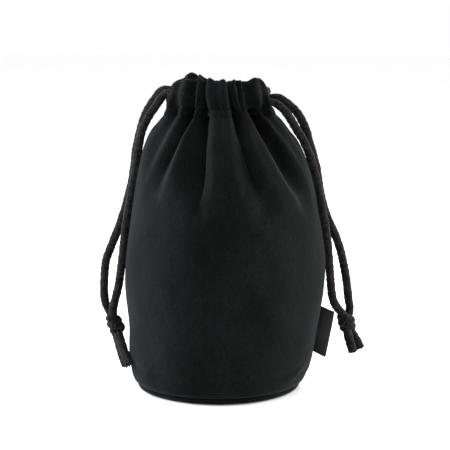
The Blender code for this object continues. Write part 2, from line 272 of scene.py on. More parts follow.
def mesh_piece(name, points, faces, finish, slot, smooth=True):
    """An object from points in millimetres."""
    mesh = bpy.data.meshes.new(name)
    mesh.from_pydata((np.asarray(points, float) * MM).tolist(), [], faces)
    mesh.validate()
    mesh.polygons.foreach_set("use_smooth", [smooth] * len(mesh.polygons))
    mesh.materials.append(finish)
    obj = bpy.data.objects.new(name, mesh)
    bpy.context.scene.collection.objects.link(obj)
    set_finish(obj, slot)
    return obj


def grid_faces(rows, columns, first=0, wrap=False):
    across = columns if wrap else columns - 1
    return [
        (first + r * columns + c, first + r * columns + (c + 1) % columns,
         first + (r + 1) * columns + (c + 1) % columns, first + (r + 1) * columns + c)
        for r in range(rows - 1) for c in range(across)
    ]


def apply_modifiers(obj):
    bpy.context.view_layer.update()
    seen = obj.evaluated_get(bpy.context.evaluated_depsgraph_get())
    mesh = bpy.data.meshes.new_from_object(seen)
    obj.modifiers.clear()
    old = obj.data
    obj.data = mesh
    mesh.name = old.name
    bpy.data.meshes.remove(old)
    return obj


def smoothstep(value, low, high):
    t = np.clip((value - low) / (high - low), 0.0, 1.0)
    return t * t * (3 - 2 * t)


def run_along(points):
    """Distance along a line of points, from its first point to each."""
    return np.concatenate([[0.0], np.cumsum(np.linalg.norm(np.diff(points, axis=0), axis=1))])


# ---------------------------------------------------------------- the walls' shape

# Outline of the cloth over its ridges: height, left edge, right edge, half depth
OUTLINE = np.array([
    (0.0, -36.4, 36.6, 36.2), (2.0, -38.3, 38.8, 38.2), (4.5, -39.8, 40.6, 39.8),
    (8.0, -40.8, 42.1, 41.0), (13.0, -41.3, 43.7, 41.6), (29.0, -41.8, 46.7, 42.7),
    (48.5, -43.7, 49.6, 44.1),
    (60.0, -43.2, 50.2, 43.9), (84.0, -40.2, 46.9, 41.2), (102.5, -37.2, 43.6, 37.6),
    (116.0, -34.0, 37.6, 31.0), (124.0, -29.0, 31.2, 24.2), (129.0, -25.2, 27.2, 21.2),
    (134.0, -23.4, 24.7, 19.8), (147.0, -23.0, 24.2, 19.4),
])
SLIT_FOOT, SLIT_HEAD = 124.5, 133.5  # the slit opens between these heights
SLIT_HALF = 9.4  # from the centre plane to a casing's outer layer, at the slit
HEM_FOOT = 131.0
CHANNEL_MIDDLE, CHANNEL_HALF = 0.5, 23.0  # of the cords' channel, across the bag
CHANNEL_END_Y, CHANNEL_MID_Y = 6.0, 12.0
CORD_ROOM = 2.5  # from the channel's middle line to a layer that hugs the cord

HEIGHTS = (147.0, 137.0, 131.0, 120.0, 108.0, 96.0, 84.0, 70.0)  # rows of the fold table

# Folds: across at each height, depth, reach to the left and to the right, and sharpness.
# A sharpness below 0 gives a sharp crest at the left end of the fold's reach, and a soft right side.
FRONT_FOLDS = [
    ((-18.6, -19.0, -20.6, -26.2, -31.6, -35.4, -37.8, -39.0),
     (0.8, 1.0, 2.2, 2.2, 1.2, 0.4, 0.1, 0.0),
     (3, 3, 4, 6, 8, 9, 9, 9), (4, 4, 5, 7, 9, 9, 9, 9), 0.2),
    ((-10.9, -11.2, -12.8, -18.4, -24.6, -29.6, -33.0, -35.0),
     (3.4, 3.8, 5.6, 4.6, 4.0, 2.0, 0.3, 0.0),
     (4.0, 4.5, 5.5, 7, 9, 10, 10, 10), (1.8, 2.0, 3.0, 4.0, 6, 8, 10, 10), 0.45),
    ((-6.6, -6.4, -6.0, -6.2, -6.6, -7.8, -12.0, -17.0),
     (3.4, 4.2, 7.0, 8.0, 7.2, 5.0, 2.0, 0.0),
     (2.2, 2.6, 5.0, 13, 17, 17, 14, 12), (2.2, 2.6, 3.6, 4.4, 5.0, 5.4, 7, 9), 0.75),
    ((-0.5, -0.3, 0.6, 1.2, 1.6, 1.8, 2.0, 2.2),
     (3.8, 2.4, 0.0, 0.0, 0.0, 0.0, 0.0, 0.0),
     (2.2, 2.2, 2, 2, 2, 2, 2, 2), (2.2, 2.2, 2, 2, 2, 2, 2, 2), 1.0),
    ((5.5, 6.0, 7.9, 10.4, 14.2, 19.0, 24.0, 29.0),
     (3.2, 4.0, 6.2, 6.6, 5.0, 3.2, 1.6, 0.0),
     (2.4, 2.6, 3.4, 5.4, 8, 11, 12, 12), (1.8, 2.4, 3.4, 5, 7, 9, 10, 10), 0.7),
    ((9.5, 9.8, 11.6, 16.4, 22.4, 28.4, 33.0, 36.5),
     (2.4, 1.6, 0.0, 0.0, 0.0, 0.0, 0.0, 0.0),
     (1.9, 1.9, 2, 2, 2, 2, 2, 2), (1.9, 1.9, 2, 2, 2, 2, 2, 2), 0.9),
    ((13.3, 13.8, 17.0, 24.2, 31.6, 37.6, 41.6, 44.0),
     (3.2, 4.0, 6.4, 8.0, 7.2, 4.2, 0.6, 0.0),
     (2.0, 2.2, 3.4, 5.4, 7.0, 6.8, 6, 6), (4.5, 5, 6.5, 9, 10, 9, 7, 6), -0.85),
    ((20.6, 20.8, 22.2, 30.6, 38.2, 42.6, 45.4, 47.0),
     (0.9, 1.1, 2.0, 1.4, 0.4, 0.0, 0.0, 0.0),
     (3, 3, 4, 6, 7, 8, 8, 8), (3, 3, 3, 5, 6, 6, 6, 6), 0.3),
]
BACK_FOLDS = [
    ((-18.6, -18.8, -19.6, -26.0, -31.4, -35.2, -37.4, -38.6),
     (2.2, 2.4, 3.4, 4.2, 3.0, 1.6, 0.5, 0.0),
     (3, 3, 4, 6, 8, 9, 9, 9), (3, 3, 3.5, 5, 8, 9, 9, 9), 0.5),
    ((-11.0, -11.2, -12.0, -16.4, -21.4, -24.0, -26.0, -28.0),
     (3.4, 4.0, 6.0, 5.8, 4.4, 2.8, 1.2, 0.0),
     (3, 3.2, 3.8, 5, 7, 9, 10, 10), (2.0, 2.2, 2.4, 3.4, 5, 7, 9, 9), 0.85),
    ((-4.0, -4.1, -4.6, -6.6, -8.4, -8.0, -7.0, -6.0),
     (3.4, 4.0, 5.6, 4.6, 2.4, 1.0, 0.3, 0.0),
     (2.6, 2.8, 3.2, 5, 7, 8, 8, 8), (2.4, 2.6, 3, 5, 7, 8, 8, 8), 0.7),
    ((3.2, 3.2, 3.4, 3.0, 4.6, 7.6, 10.0, 12.0),
     (3.6, 4.2, 6.4, 6.0, 4.8, 3.0, 1.4, 0.0),
     (2.0, 2.0, 2.2, 2.6, 4, 6, 8, 9), (3.0, 3.0, 3.4, 5, 7, 9, 10, 10), 0.9),
    ((10.4, 10.6, 11.6, 15.8, 19.4, 22.4, 25.0, 27.0),
     (3.2, 3.8, 5.4, 4.6, 3.0, 1.4, 0.4, 0.0),
     (2.6, 2.8, 3, 5, 7, 8, 9, 9), (2.2, 2.4, 2.8, 4, 6, 8, 8, 8), 0.8),
    ((17.6, 17.8, 19.0, 26.6, 33.0, 37.6, 40.6, 42.0),
     (2.4, 2.8, 4.2, 5.0, 3.8, 2.2, 0.8, 0.0),
     (2.2, 2.4, 3, 4, 6, 8, 9, 9), (3, 3, 4, 7, 8, 8, 8, 8), 0.75),
]
LOBE_COLUMNS_MM = 1.25  # width of cloth for each column of the mesh
FOLD_FULLNESS = 0.98  # how much of the cloth's width each row takes up, before the simulation
LOW_LOSS = 0.08  # how much less of it the rows take up where the folds start
SHALLOWEST, DEEPEST = 0.6, 2.0  # least and most that the fold table's depths are multiplied by

# Height of the hem's top across the bag
FRONT_TOP = [
    (-24, 138.8), (-21.8, 141.8), (-18.6, 144.2), (-15, 145.8), (-11, 145.4), (-8.8, 147.2),
    (-6.6, 145.4), (-3.6, 146.6), (-0.5, 144.8), (2.4, 146.0), (5.5, 144.6), (7.6, 146.1),
    (9.5, 145.0), (11.5, 146.1), (13.3, 144.8), (16, 146.3), (18.8, 146.4), (21, 144.2),
    (22.8, 141.0), (24.7, 137.4),
]
BACK_TOP = [
    (-24, 139.4), (-20.4, 142.8), (-16.8, 144.9), (-12.6, 147.2), (-9.2, 146.8), (-6.6, 144.6),
    (-3, 143.2), (2, 142.8), (8, 143.0), (14, 142.8), (19, 142.4), (22, 141.0), (24.7, 138.6),
]


def hem_wave(x):
    """How far the hem's rows rise and fall across the bag."""
    return 0.55 * np.sin(0.33 * x + 0.6) + 0.35 * np.sin(0.81 * x + 2.1)


def curve_at(xs, ys, x):
    """Smooth interpolation through a table: ys over rising xs."""
    xs, ys = np.asarray(xs, float), np.asarray(ys, float)
    slope = np.gradient(ys, xs)
    i = int(np.clip(np.searchsorted(xs, x) - 1, 0, len(xs) - 2))
    span = xs[i + 1] - xs[i]
    t = np.clip((x - xs[i]) / span, 0.0, 1.0)
    return (
        (2 * t**3 - 3 * t**2 + 1) * ys[i] + (t**3 - 2 * t**2 + t) * span * slope[i]
        + (3 * t**2 - 2 * t**3) * ys[i + 1] + (t**3 - t**2) * span * slope[i + 1]
    )


def outline_at(z):
    return [float(curve_at(OUTLINE[:, 0], OUTLINE[:, k], z)) for k in (1, 2, 3)]


def plan_curve(z, turn):
    """Points of the cloth's outline over its ridges, for turns from 0, left, to pi, right."""
    left, right, depth = outline_at(z)
    split = float(smoothstep(z, SLIT_FOOT, SLIT_HEAD))
    x = (left + right) / 2 - (right - left) / 2 * np.cos(turn)
    whole = depth * np.sin(turn)
    parted = SLIT_HALF + (depth - SLIT_HALF) * np.sin(turn) ** 2
    return np.stack([x, whole * (1 - split) + parted * split], axis=-1)


def normals_of(points):
    """Unit outward normals in plan of a curve that runs from the left end to the right end."""
    along = np.gradient(points, axis=0)
    out = np.stack([-along[:, 1], along[:, 0]], axis=-1)
    return out / np.linalg.norm(out, axis=1, keepdims=True)


def turn_of(z, across):
    left, right, _ = outline_at(z)
    share = ((left + right) / 2 - across) / ((right - left) / 2)
    return math.acos(max(-1.0, min(1.0, share)))


def fold_value(fold, column, z):
    return float(curve_at(HEIGHTS[::-1], fold[column][::-1], min(max(z, HEIGHTS[-1]), HEIGHTS[0])))


def groove(distance, reach, sharp):
    """How deep a fold is at a distance from its bottom: 1 there, 0 from reach on."""
    s = np.clip(np.abs(distance) / reach, 0.0, 1.0)
    round_lobe = 1.0 - np.sqrt(np.clip(1.0 - (1.0 - s) ** 2.2, 0.0, 1.0))
    soft = 0.5 + 0.5 * np.cos(math.pi * s)
    if sharp < 0:
        return np.where(distance < 0, (1.0 - s**1.9) * -sharp + soft * (1.0 + sharp), soft)
    return sharp * round_lobe + (1.0 - sharp) * soft


def channel_y(u):
    """The middle line of the cords' channel, for u from -1, its left end, to 1, its right end."""
    return CHANNEL_END_Y + (CHANNEL_MID_Y - CHANNEL_END_Y) * (1 - u * u)


def channel_point(x, side):
    return side * channel_y((x - CHANNEL_MIDDLE) / CHANNEL_HALF)


def channel_gap(points):
    """Distance in plan from the channel's middle line to points of the outline."""
    u = np.clip((points[:, 0] - CHANNEL_MIDDLE) / CHANNEL_HALF, -1, 1)
    slope = 2 * np.abs(u) * (CHANNEL_MID_Y - CHANNEL_END_Y) / CHANNEL_HALF
    return (points[:, 1] - channel_y(u)) / np.sqrt(1 + slope * slope)


def cloth_width():
    """Width of cloth in one half of the bag, measured where the folds have died out."""
    return float(run_along(plan_curve(HEIGHTS[-1], np.linspace(0, math.pi, 400)))[-1])


def fold_bottoms(folds, z):
    """The outline's turns at the left seam, at each fold's bottom and at the right seam."""
    level = max(z, HEIGHTS[-1])
    return [0.0] + [turn_of(level, fold_value(f, 0, z)) for f in folds] + [math.pi]


def wall_row(z, folds, columns):
    """A row of cloth whose folds are as deep as its width of cloth needs."""
    if z <= HEIGHTS[-1]:
        return fold_row(z, folds, columns, 1.0)[:3]
    wanted = (FOLD_FULLNESS - LOW_LOSS * float(1 - smoothstep(z, 86.0, 108.0))) * cloth_width()
    low, high = SHALLOWEST, DEEPEST
    for _ in range(9):
        middle = (low + high) / 2
        if fold_row(z, folds, columns, middle)[3] < wanted:
            low = middle
        else:
            high = middle
    return fold_row(z, folds, columns, (low + high) / 2)[:3]


def fold_row(z, folds, columns, deepen):
    """Points of a row of cloth in plan, the outline's turn at each, how deep each lies, and its length."""
    bottoms = fold_bottoms(folds, z)
    dense = np.unique(np.concatenate([np.linspace(0, math.pi, 700)] + [
        b + np.linspace(-0.05, 0.05, 61) for b in bottoms[1:-1]
    ]))
    dense = dense[(dense >= 0) & (dense <= math.pi)]
    hull = plan_curve(z, dense)
    run = run_along(hull)
    sink = np.zeros(len(dense))
    crisp = 0.25 + 0.75 * float(smoothstep(z, 84.0, 118.0))
    for f, b in zip(folds, bottoms[1:-1]):
        depth = fold_value(f, 1, z) * deepen
        if depth <= 0.01:
            continue
        away = run - np.interp(b, dense, run)
        reach = np.where(away < 0, fold_value(f, 2, z), fold_value(f, 3, z))
        cut = depth * groove(away, reach, f[4] * crisp)
        sink = (sink**3 + cut**3) ** (1 / 3)
    room = channel_gap(hull) - CORD_ROOM
    held = float(smoothstep(z, 129.8, 133.2))
    limit = np.maximum(room, 0.0)
    capped = np.where(sink > limit, limit + 0.05 * (sink - limit), sink)
    sink = sink * (1 - held) + capped * held
    points = hull - normals_of(hull) * sink[:, None]
    length = run_along(points)
    marks = [0] + [int(np.argmin(np.abs(dense - b))) for b in bottoms[1:-1]] + [len(dense) - 1]
    targets = []
    for k, count in enumerate(columns):
        low, high = length[marks[k]], length[marks[k + 1]]
        targets.append(np.linspace(low, high, count, endpoint=False))
    targets = np.concatenate(targets + [[length[-1]]])
    made = np.stack([np.interp(targets, length, points[:, i]) for i in (0, 1)], axis=-1)
    return made, np.interp(targets, length, dense), np.interp(targets, length, sink), float(length[-1])


def lobe_columns(folds):
    """How many columns each lobe between two folds has, from its width low on the wall."""
    bottoms = fold_bottoms(folds, HEIGHTS[-1])
    counts = []
    for a, b in zip(bottoms, bottoms[1:]):
        width = run_along(plan_curve(HEIGHTS[-1], np.linspace(a, b, 60)))[-1]
        counts.append(max(5, round(width / LOBE_COLUMNS_MM)))
    return counts


WALL_FOOT = 3.0
OUTER_HEIGHTS = [  # of the outer layer's rows: the foot, the body, and the hem
    *np.linspace(WALL_FOOT, 12.0, 8), *np.linspace(13.6, 124.0, 72),
    125.3, 126.4, 127.4, 128.3, 129.2, 130.2, 131.2, 132.3,
    133.3, 134.5, 136.0, 137.6, 139.2, 140.8, 142.2, 143.4,
]
OUTER_ROWS = len(OUTER_HEIGHTS)
STITCH_ROWS = (132.3, 128.3)
STITCH_HEIGHT, STITCH_LENGTH, STITCH_PITCH = 0.16, 1.9, 2.7
PINCH_DEPTH, PINCH_REACH = 0.75, 0.75  # of a stitch row
FOOT_DEPTH, FOOT_REACH = 0.55, 0.9  # of the base seam
SEAM_DEPTH, SEAM_REACH = 0.40, 0.9  # of a side seam
SEAM_GAP = 0.02  # from the centre plane to the cloth's edge
HEM_PUFF, HEM_RISE = 1.15, 12.0  # how far the hem swells, and over what height
HEM_TUCK = 1.6  # how far the hem draws in again below its crest
LUMP_HEIGHT = 0.63
GATHER_HEIGHT, GATHER_REACH = 0.16, 3.5  # ripples just above the base seam
CREST_RADIUS = 1.9  # of the hem's folded top
CREST_DIP = 0.34  # how far the crest sinks over a fold, for each mm of its depth
LINING_LEVEL = 140.0
LINING_ROWS = (  # height, and share of the way from the crest to the channel's inner side
    (142.4, 0.30), (141.0, 0.62), (139.4, 0.90), (137.6, 1.0), (135.8, 1.0), (134.2, 0.86), (133.0, 0.5),
)
SEWN_LEVEL, SEWN_BEHIND = 131.6, 1.7  # where the lining is sewn down, and how far behind the wall
SEWN_ROWS = ((131.8, 0.0), (130.4, 0.2), (129.2, 0.5))  # height, and distance from the sewn row


def surface_shift(z, side, hull, plan):
    """How far a row stands out from its folds: the hem's swelling, seams, stitches and lumps."""
    puff = HEM_PUFF * math.sin(math.pi * min(max((z - STITCH_ROWS[0]) / HEM_RISE, 0.0), 1.0)) ** 0.7
    puff -= HEM_TUCK * float(smoothstep(z, 139.5, 144.5))
    pinch = sum(PINCH_DEPTH * math.exp(-(((z - s) / PINCH_REACH) ** 2)) for s in STITCH_ROWS)
    foot = FOOT_DEPTH * math.exp(-(((z - WALL_FOOT) / FOOT_REACH) ** 2))
    run = run_along(plan)
    edge = np.minimum(run, run[-1] - run)
    seam = SEAM_DEPTH * np.exp(-((edge / SEAM_REACH) ** 2)) * float(1 - smoothstep(z, 122.0, 127.0))
    rough = LUMP_HEIGHT * float(1 - smoothstep(z, 110.0, 128.0)) * float(smoothstep(z, 4.0, 14.0))
    lumps = np.array([
        noise.noise(Vector((p[0] * 0.045, side * p[1] * 0.045, z * 0.035)) + Vector((3.1, 7.7, 1.3)))
        for p in hull
    ])
    ripple = np.sin(run * 2.1 + 3.0 * np.sin(run * 0.31))
    gather = GATHER_HEIGHT * ripple * math.exp(-max(z - WALL_FOOT, 0) / GATHER_REACH)
    return puff - pinch - foot - seam + rough * lumps + gather


def raised(plan, side, z):
    """A row of points in plan, at a height and on its side of the bag."""
    return np.column_stack([plan[:, 0], side * plan[:, 1], np.full(len(plan), z)])


def lining_rows(top, folds, columns, side):
    """Rows from the outer layer's top row over the hem and down inside it, and its folds' depth."""
    _, turn, sink = wall_row(LINING_LEVEL, folds, columns)
    hull = plan_curve(LINING_LEVEL, turn)
    out = normals_of(hull)
    room = channel_gap(hull)
    inner = hull - out * (room + CORD_ROOM + 0.25 * np.clip(room - sink, 0.0, 3.0))[:, None]
    outer = np.stack([top[:, 0], side * top[:, 1]], axis=-1)
    rows = []
    for angle in (30, 60, 90, 120, 150, 180):
        a = math.radians(angle)
        rise = 1.25 * CREST_RADIUS * math.sin(a)
        rows.append(raised(outer - out * (CREST_RADIUS * (1 - math.cos(a))), side, top[0, 2] + rise))
    start = outer - out * 2 * CREST_RADIUS
    for z, share in LINING_ROWS:
        rows.append(raised(start * (1 - share) + inner * share, side, z))
    sewn, _, _ = wall_row(SEWN_LEVEL, folds, columns)
    behind = sewn - normals_of(plan_curve(SEWN_LEVEL, turn)) * SEWN_BEHIND
    for z, away in SEWN_ROWS:
        rows.append(raised(behind - out * away, side, z))
    return rows, sink


def settle_hem(rows, sink, top_line):
    """Brings the hem's crest to its line, lower over the folds, and lets its rows rise and fall."""
    crest = rows[:, :, 2].max()
    tops = np.interp(rows[:, :, 0], [p[0] for p in top_line], [p[1] for p in top_line])
    share = np.clip((rows[:, :, 2] - HEM_FOOT) / (crest - HEM_FOOT), 0.0, 1.0)
    dip = CREST_DIP * np.clip(sink, 0, 3.5)
    rows[:, :, 2] += share * (tops - crest) - dip[None, :] * smoothstep(share, 0.75, 1.0)
    rows[:, :, 2] += hem_wave(rows[:, :, 0]) * smoothstep(rows[:, :, 2], 110.0, 127.0) * (1 - share)
    return rows


def wall_points(folds, side):
    """All rows of one half of the bag, from the base seam up over the hem and down inside it."""
    columns = lobe_columns(folds)
    rows = []
    for z in OUTER_HEIGHTS:
        plan, turn, _ = wall_row(z, folds, columns)
        hull = plan_curve(z, turn)
        place = plan + normals_of(hull) * surface_shift(z, side, hull, plan)[:, None]
        place[:, 1] = np.maximum(place[:, 1], SEAM_GAP)
        rows.append(raised(place, side, z))
    lining, sink = lining_rows(rows[-1], folds, columns, side)
    return settle_hem(np.stack(rows + lining), sink, FRONT_TOP if side < 0 else BACK_TOP)


SIM_SCALE = 10.0  # the cloth solver is steadier on a larger model
SIM_FRAMES = 24
SIM_FOOT = (4.0, 11.0)  # points are held below the first height and free from the second
SIM_HEAD = 124.5  # points above this height are held
SIM_HEAD_FADE = 7.0  # height below SIM_HEAD over which the hold grows
SIM_CAP = 2.0  # the furthest that a point may move
ROW_SLACK = 1.03  # the cloth's height over the distance between its rows


def relax_walls(front, back):
    """Relaxes both halves between the base seam and the hem, as one tube, with Blender's Cloth."""
    rows = int(np.sum(np.max(front[:, :, 2], axis=1)[:OUTER_ROWS] <= SIM_HEAD)) + 3
    tube = np.concatenate([front[:rows], back[:rows, ::-1]], axis=1)
    width = tube.shape[1]
    rest = tube.copy()
    start = int(np.sum(front[:rows, 0, 2] <= HEIGHTS[-1]))
    level = rest[start - 1].copy()
    for r in range(start, rows):
        rise = np.linalg.norm(np.median(np.abs(tube[r] - tube[r - 1]), axis=0)) * ROW_SLACK
        level = level + np.array([0.0, 0.0, rise])
        rest[r] = level
    mesh = bpy.data.meshes.new("loose")
    places = (tube.reshape(-1, 3) * MM * SIM_SCALE).tolist()
    mesh.from_pydata(places, [], grid_faces(rows, width, wrap=True))
    obj = bpy.data.objects.new("loose", mesh)
    bpy.context.scene.collection.objects.link(obj)
    obj.shape_key_add(name="Basis")
    key = obj.shape_key_add(name="rest")
    key.data.foreach_set("co", (rest.reshape(-1) * MM * SIM_SCALE))
    key.value = 0.0
    pins = obj.vertex_groups.new(name="pins")
    heights = tube[:, :, 2].reshape(-1)
    held_above = smoothstep(heights, SIM_HEAD - SIM_HEAD_FADE, SIM_HEAD)
    hold = np.maximum(1 - smoothstep(heights, *SIM_FOOT), held_above)
    for i in np.nonzero(hold > 0.01)[0]:
        pins.add([int(i)], float(hold[i]), "REPLACE")
    cloth = obj.modifiers.new("cloth", "CLOTH")
    kit = cloth.settings
    kit.quality = 6
    kit.mass = 0.25
    kit.tension_stiffness = kit.compression_stiffness = 25.0
    kit.shear_stiffness = 8.0
    kit.bending_stiffness = 1.6
    kit.tension_damping = kit.compression_damping = 10.0
    kit.bending_damping = 1.0
    kit.air_damping = 4.0
    kit.vertex_group_mass = "pins"
    kit.rest_shape_key = key
    kit.use_pressure = True
    kit.uniform_pressure_force = 1.3
    kit.effector_weights.gravity = 0.12
    cloth.point_cache.frame_start, cloth.point_cache.frame_end = 1, SIM_FRAMES
    for frame_number in range(1, SIM_FRAMES + 1):
        bpy.context.scene.frame_set(frame_number)
    seen = obj.evaluated_get(bpy.context.evaluated_depsgraph_get())
    moved = np.empty(len(seen.data.vertices) * 3)
    seen.data.vertices.foreach_get("co", moved)
    moved = moved.reshape(rows, width, 3) / (MM * SIM_SCALE)
    bpy.data.objects.remove(obj)
    bpy.context.scene.frame_set(1)
    shift = moved - tube
    size = np.linalg.norm(shift, axis=2, keepdims=True)
    shift *= np.minimum(1.0, SIM_CAP / np.maximum(size, 1e-9))
    moved = tube + shift
    half = front.shape[1]
    front[:rows] = moved[:, :half]
    back[:rows] = moved[:, half:][:, ::-1]
    return front, back


# ---------------------------------------------------------------- cords

CORD_WIDE, CORD_THICK = 3.5, 2.8  # the soft cord lies slightly flat
RUN_WIDE, RUN_THICK = 3.1, 2.7  # inside a casing
TAIL_WIDE, TAIL_THICK = 3.8, 2.9
BRAID_AROUND = 24
BRAID_STEP = 0.30
YARNS = 4
YARN_PITCH = 2.6
FIBRES = 26  # loose at a cut end


def smooth_route(points):
    """Points about BRAID_STEP apart on a smooth curve through the given points."""
    points = [Vector(p) for p in points]
    fine, last = [], len(points) - 1
    for i in range(last):
        p0, p1, p2, p3 = (points[min(max(i + k, 0), last)] for k in (-1, 0, 1, 2))
        for k in range(16):
            t = k / 16
            fine.append(0.5 * (
                2 * p1 + (p2 - p0) * t + (2 * p0 - 5 * p1 + 4 * p2 - p3) * t**2
                + (3 * p1 - p0 - 3 * p2 + p3) * t**3
            ))
    fine.append(points[-1])
    fine = np.array(fine)
    for _ in range(6):
        fine[1:-1] = 0.25 * fine[:-2] + 0.5 * fine[1:-1] + 0.25 * fine[2:]
    run = run_along(fine)
    at = np.linspace(0, run[-1], max(3, int(round(run[-1] / BRAID_STEP))) + 1)
    return np.stack([np.interp(at, run, fine[:, i]) for i in range(3)], axis=-1)


def braid_rings(route, wide, thick, flat_axis=(1.0, 0.0, 0.0), taper=(0.0, 0.0)):
    """Rings of a braided tube along a route: an oval with a raised lattice of yarns."""
    along = np.gradient(route, axis=0)
    along /= np.linalg.norm(along, axis=1, keepdims=True)
    broad = np.array(flat_axis)[None, :] - along * (along @ np.array(flat_axis))[:, None]
    size = np.linalg.norm(broad, axis=1)
    weak = size < 0.15
    if weak.any():
        broad[weak] = np.cross(along[weak], np.array([0.0, 1.0, 0.0]))
    broad /= np.linalg.norm(broad, axis=1, keepdims=True)
    for _ in range(20):
        broad[1:-1] = broad[:-2] + broad[1:-1] * 2 + broad[2:]
        broad -= along * np.sum(broad * along, axis=1, keepdims=True)
        broad /= np.linalg.norm(broad, axis=1, keepdims=True)
    across = np.cross(along, broad)
    run = run_along(route)
    around = np.linspace(0, 2 * math.pi, BRAID_AROUND, endpoint=False)
    a = YARNS * around[None, :] / 2 + math.pi * (run[:, None] / YARN_PITCH)
    b = YARNS * around[None, :] / 2 - math.pi * (run[:, None] / YARN_PITCH)
    lattice = np.abs(np.cos(a) * np.cos(b)) + np.abs(np.sin(a) * np.sin(b))
    radius = 1.0 + 0.40 * (lattice - 0.66)
    wobble = np.sin(run * 1.31 + 5.0 * np.sin(run * 0.173)) + 0.7 * np.sin(run * 2.9 + 1.0)
    radius *= (1.0 + 0.035 * wobble)[:, None]
    ends = np.ones(len(route))
    for share, end in zip(taper, (run, run[-1] - run)):
        if share > 0:
            ends *= 1 - 0.55 * np.exp(-((end / share) ** 2))
    half_wide = (wide / 2 * ends)[:, None] * radius
    half_thick = (thick / 2 * ends)[:, None] * radius
    return (
        route[:, None, :] + broad[:, None, :] * (half_wide * np.cos(around))[..., None]
        + across[:, None, :] * (half_thick * np.sin(around))[..., None]
    )


def tube_mesh(rings, first=0):
    """Points and faces of a closed tube through rings."""
    rows, count, _ = rings.shape
    points = rings.reshape(-1, 3)
    caps = np.array([rings[0].mean(axis=0), rings[-1].mean(axis=0)])
    faces = [tuple(reversed(f)) for f in grid_faces(rows, count, first, wrap=True)]
    low, high = first + rows * count, first + rows * count + 1
    for c in range(count):
        d = (c + 1) % count
        faces.append((first + c, first + d, low))
        faces.append((first + (rows - 1) * count + d, first + (rows - 1) * count + c, high))
    return np.vstack([points, caps]), faces


def joined(parts):
    """Points and faces of several meshes as one."""
    points, faces = [], []
    for part_points, part_faces in parts:
        base = sum(len(p) for p in points)
        points.append(part_points)
        faces += [tuple(i + base for i in f) for f in part_faces]
    return np.vstack(points), faces


def cord_piece(name, route, finish, wide=CORD_WIDE, thick=CORD_THICK, flat_axis=(1.0, 0.0, 0.0)):
    points, faces = tube_mesh(braid_rings(route, wide, thick, flat_axis))
    return mesh_piece(name, points, faces, finish, "cord")


LEFT_LEVEL, RIGHT_LEVEL = 138.9, 135.2  # of each cord inside the casings
RUN_STATIONS = np.arange(-18.0, 7.0, 3.0)  # across, of the run that stays in a casing
EXIT_STATIONS = (6.0, 10.0, 14.0, 18.0, 21.0)  # across, of the stretch that draws out

# Routes of the cord ends, from casing to knot
LEFT_BACK = [
    (-22.7, 6.0, 139.6), (-24.4, 5.2, 139.8), (-26.6, 4.2, 138.6), (-28.8, 3.4, 135.9),
    (-31.0, 3.0, 132.8), (-33.2, 2.8, 129.0), (-34.9, 2.7, 124.6), (-36.3, 2.6, 119.5),
    (-37.7, 2.6, 113.5), (-38.5, 2.6, 108.0), (-39.2, 2.6, 102.5), (-40.2, 2.6, 96.5),
    (-41.6, 2.6, 91.0), (-43.2, 2.6, 85.0), (-45.0, 2.6, 79.5), (-47.0, 2.6, 74.0),
    (-49.0, 2.6, 69.0), (-51.0, 2.5, 64.0), (-52.5, 2.4, 60.0), (-53.2, 2.4, 55.5),
    (-53.6, 2.4, 49.5), (-53.7, 2.3, 44.0), (-53.2, 2.2, 39.6), (-51.9, 2.0, 36.2),
    (-50.2, 1.4, 33.2),
]
LEFT_FRONT = [
    (-22.7, -6.0, 139.0), (-24.6, -5.2, 138.0), (-26.5, -4.4, 135.6), (-28.6, -3.8, 132.4),
    (-30.8, -3.4, 129.4), (-32.9, -3.1, 125.8), (-34.9, -3.0, 121.5), (-36.1, -3.0, 116.5),
    (-36.9, -3.0, 111.0), (-38.0, -3.0, 105.0), (-39.1, -3.0, 98.0), (-40.4, -3.0, 91.0),
    (-41.7, -3.0, 83.5), (-42.9, -3.0, 76.5), (-43.7, -3.0, 69.5), (-44.5, -3.0, 62.5),
    (-45.3, -2.9, 56.5), (-46.4, -2.7, 49.0), (-47.7, -2.5, 43.5), (-48.9, -2.3, 39.0),
    (-49.3, -2.2, 36.4), (-49.2, -1.8, 33.0),
]
RIGHT_BACK = [
    (23.9, 6.0, 135.2), (26.0, 5.4, 136.0), (28.6, 4.6, 135.6), (31.8, 4.0, 133.5),
    (34.9, 3.6, 130.9), (37.5, 3.4, 127.9), (39.6, 3.2, 124.1), (41.2, 3.1, 120.2),
    (42.6, 3.0, 115.0), (44.4, 3.0, 109.0), (45.9, 3.0, 103.5), (46.8, 3.0, 98.0),
    (47.8, 3.0, 92.0), (49.1, 3.0, 86.5), (50.8, 3.0, 81.0), (53.0, 2.9, 76.0),
    (55.4, 2.8, 70.5), (57.5, 2.7, 64.4), (59.0, 2.6, 58.0), (60.2, 2.5, 52.0),
    (61.0, 2.4, 46.0), (61.6, 2.2, 40.6), (62.2, 2.0, 37.0), (61.8, 1.4, 33.6),
]
RIGHT_FRONT = [
    (23.9, -6.0, 134.6), (25.8, -5.4, 134.2), (28.0, -4.8, 132.9), (30.4, -4.2, 130.7),
    (32.4, -3.8, 128.1), (34.5, -3.5, 124.8), (36.7, -3.3, 121.0), (39.2, -3.2, 117.2),
    (40.8, -3.1, 113.6), (42.7, -3.1, 109.0), (44.6, -3.1, 102.5), (46.0, -3.1, 97.0),
    (47.2, -3.1, 91.0), (48.6, -3.1, 83.5), (50.0, -3.1, 76.5), (51.0, -3.1, 69.5),
    (51.7, -3.1, 62.5), (52.2, -3.1, 56.5), (52.8, -3.0, 49.5), (53.4, -2.9, 44.0),
    (54.5, -2.6, 40.2), (56.2, -2.3, 37.4), (57.9, -2.1, 35.4), (59.4, -1.6, 33.4),
]
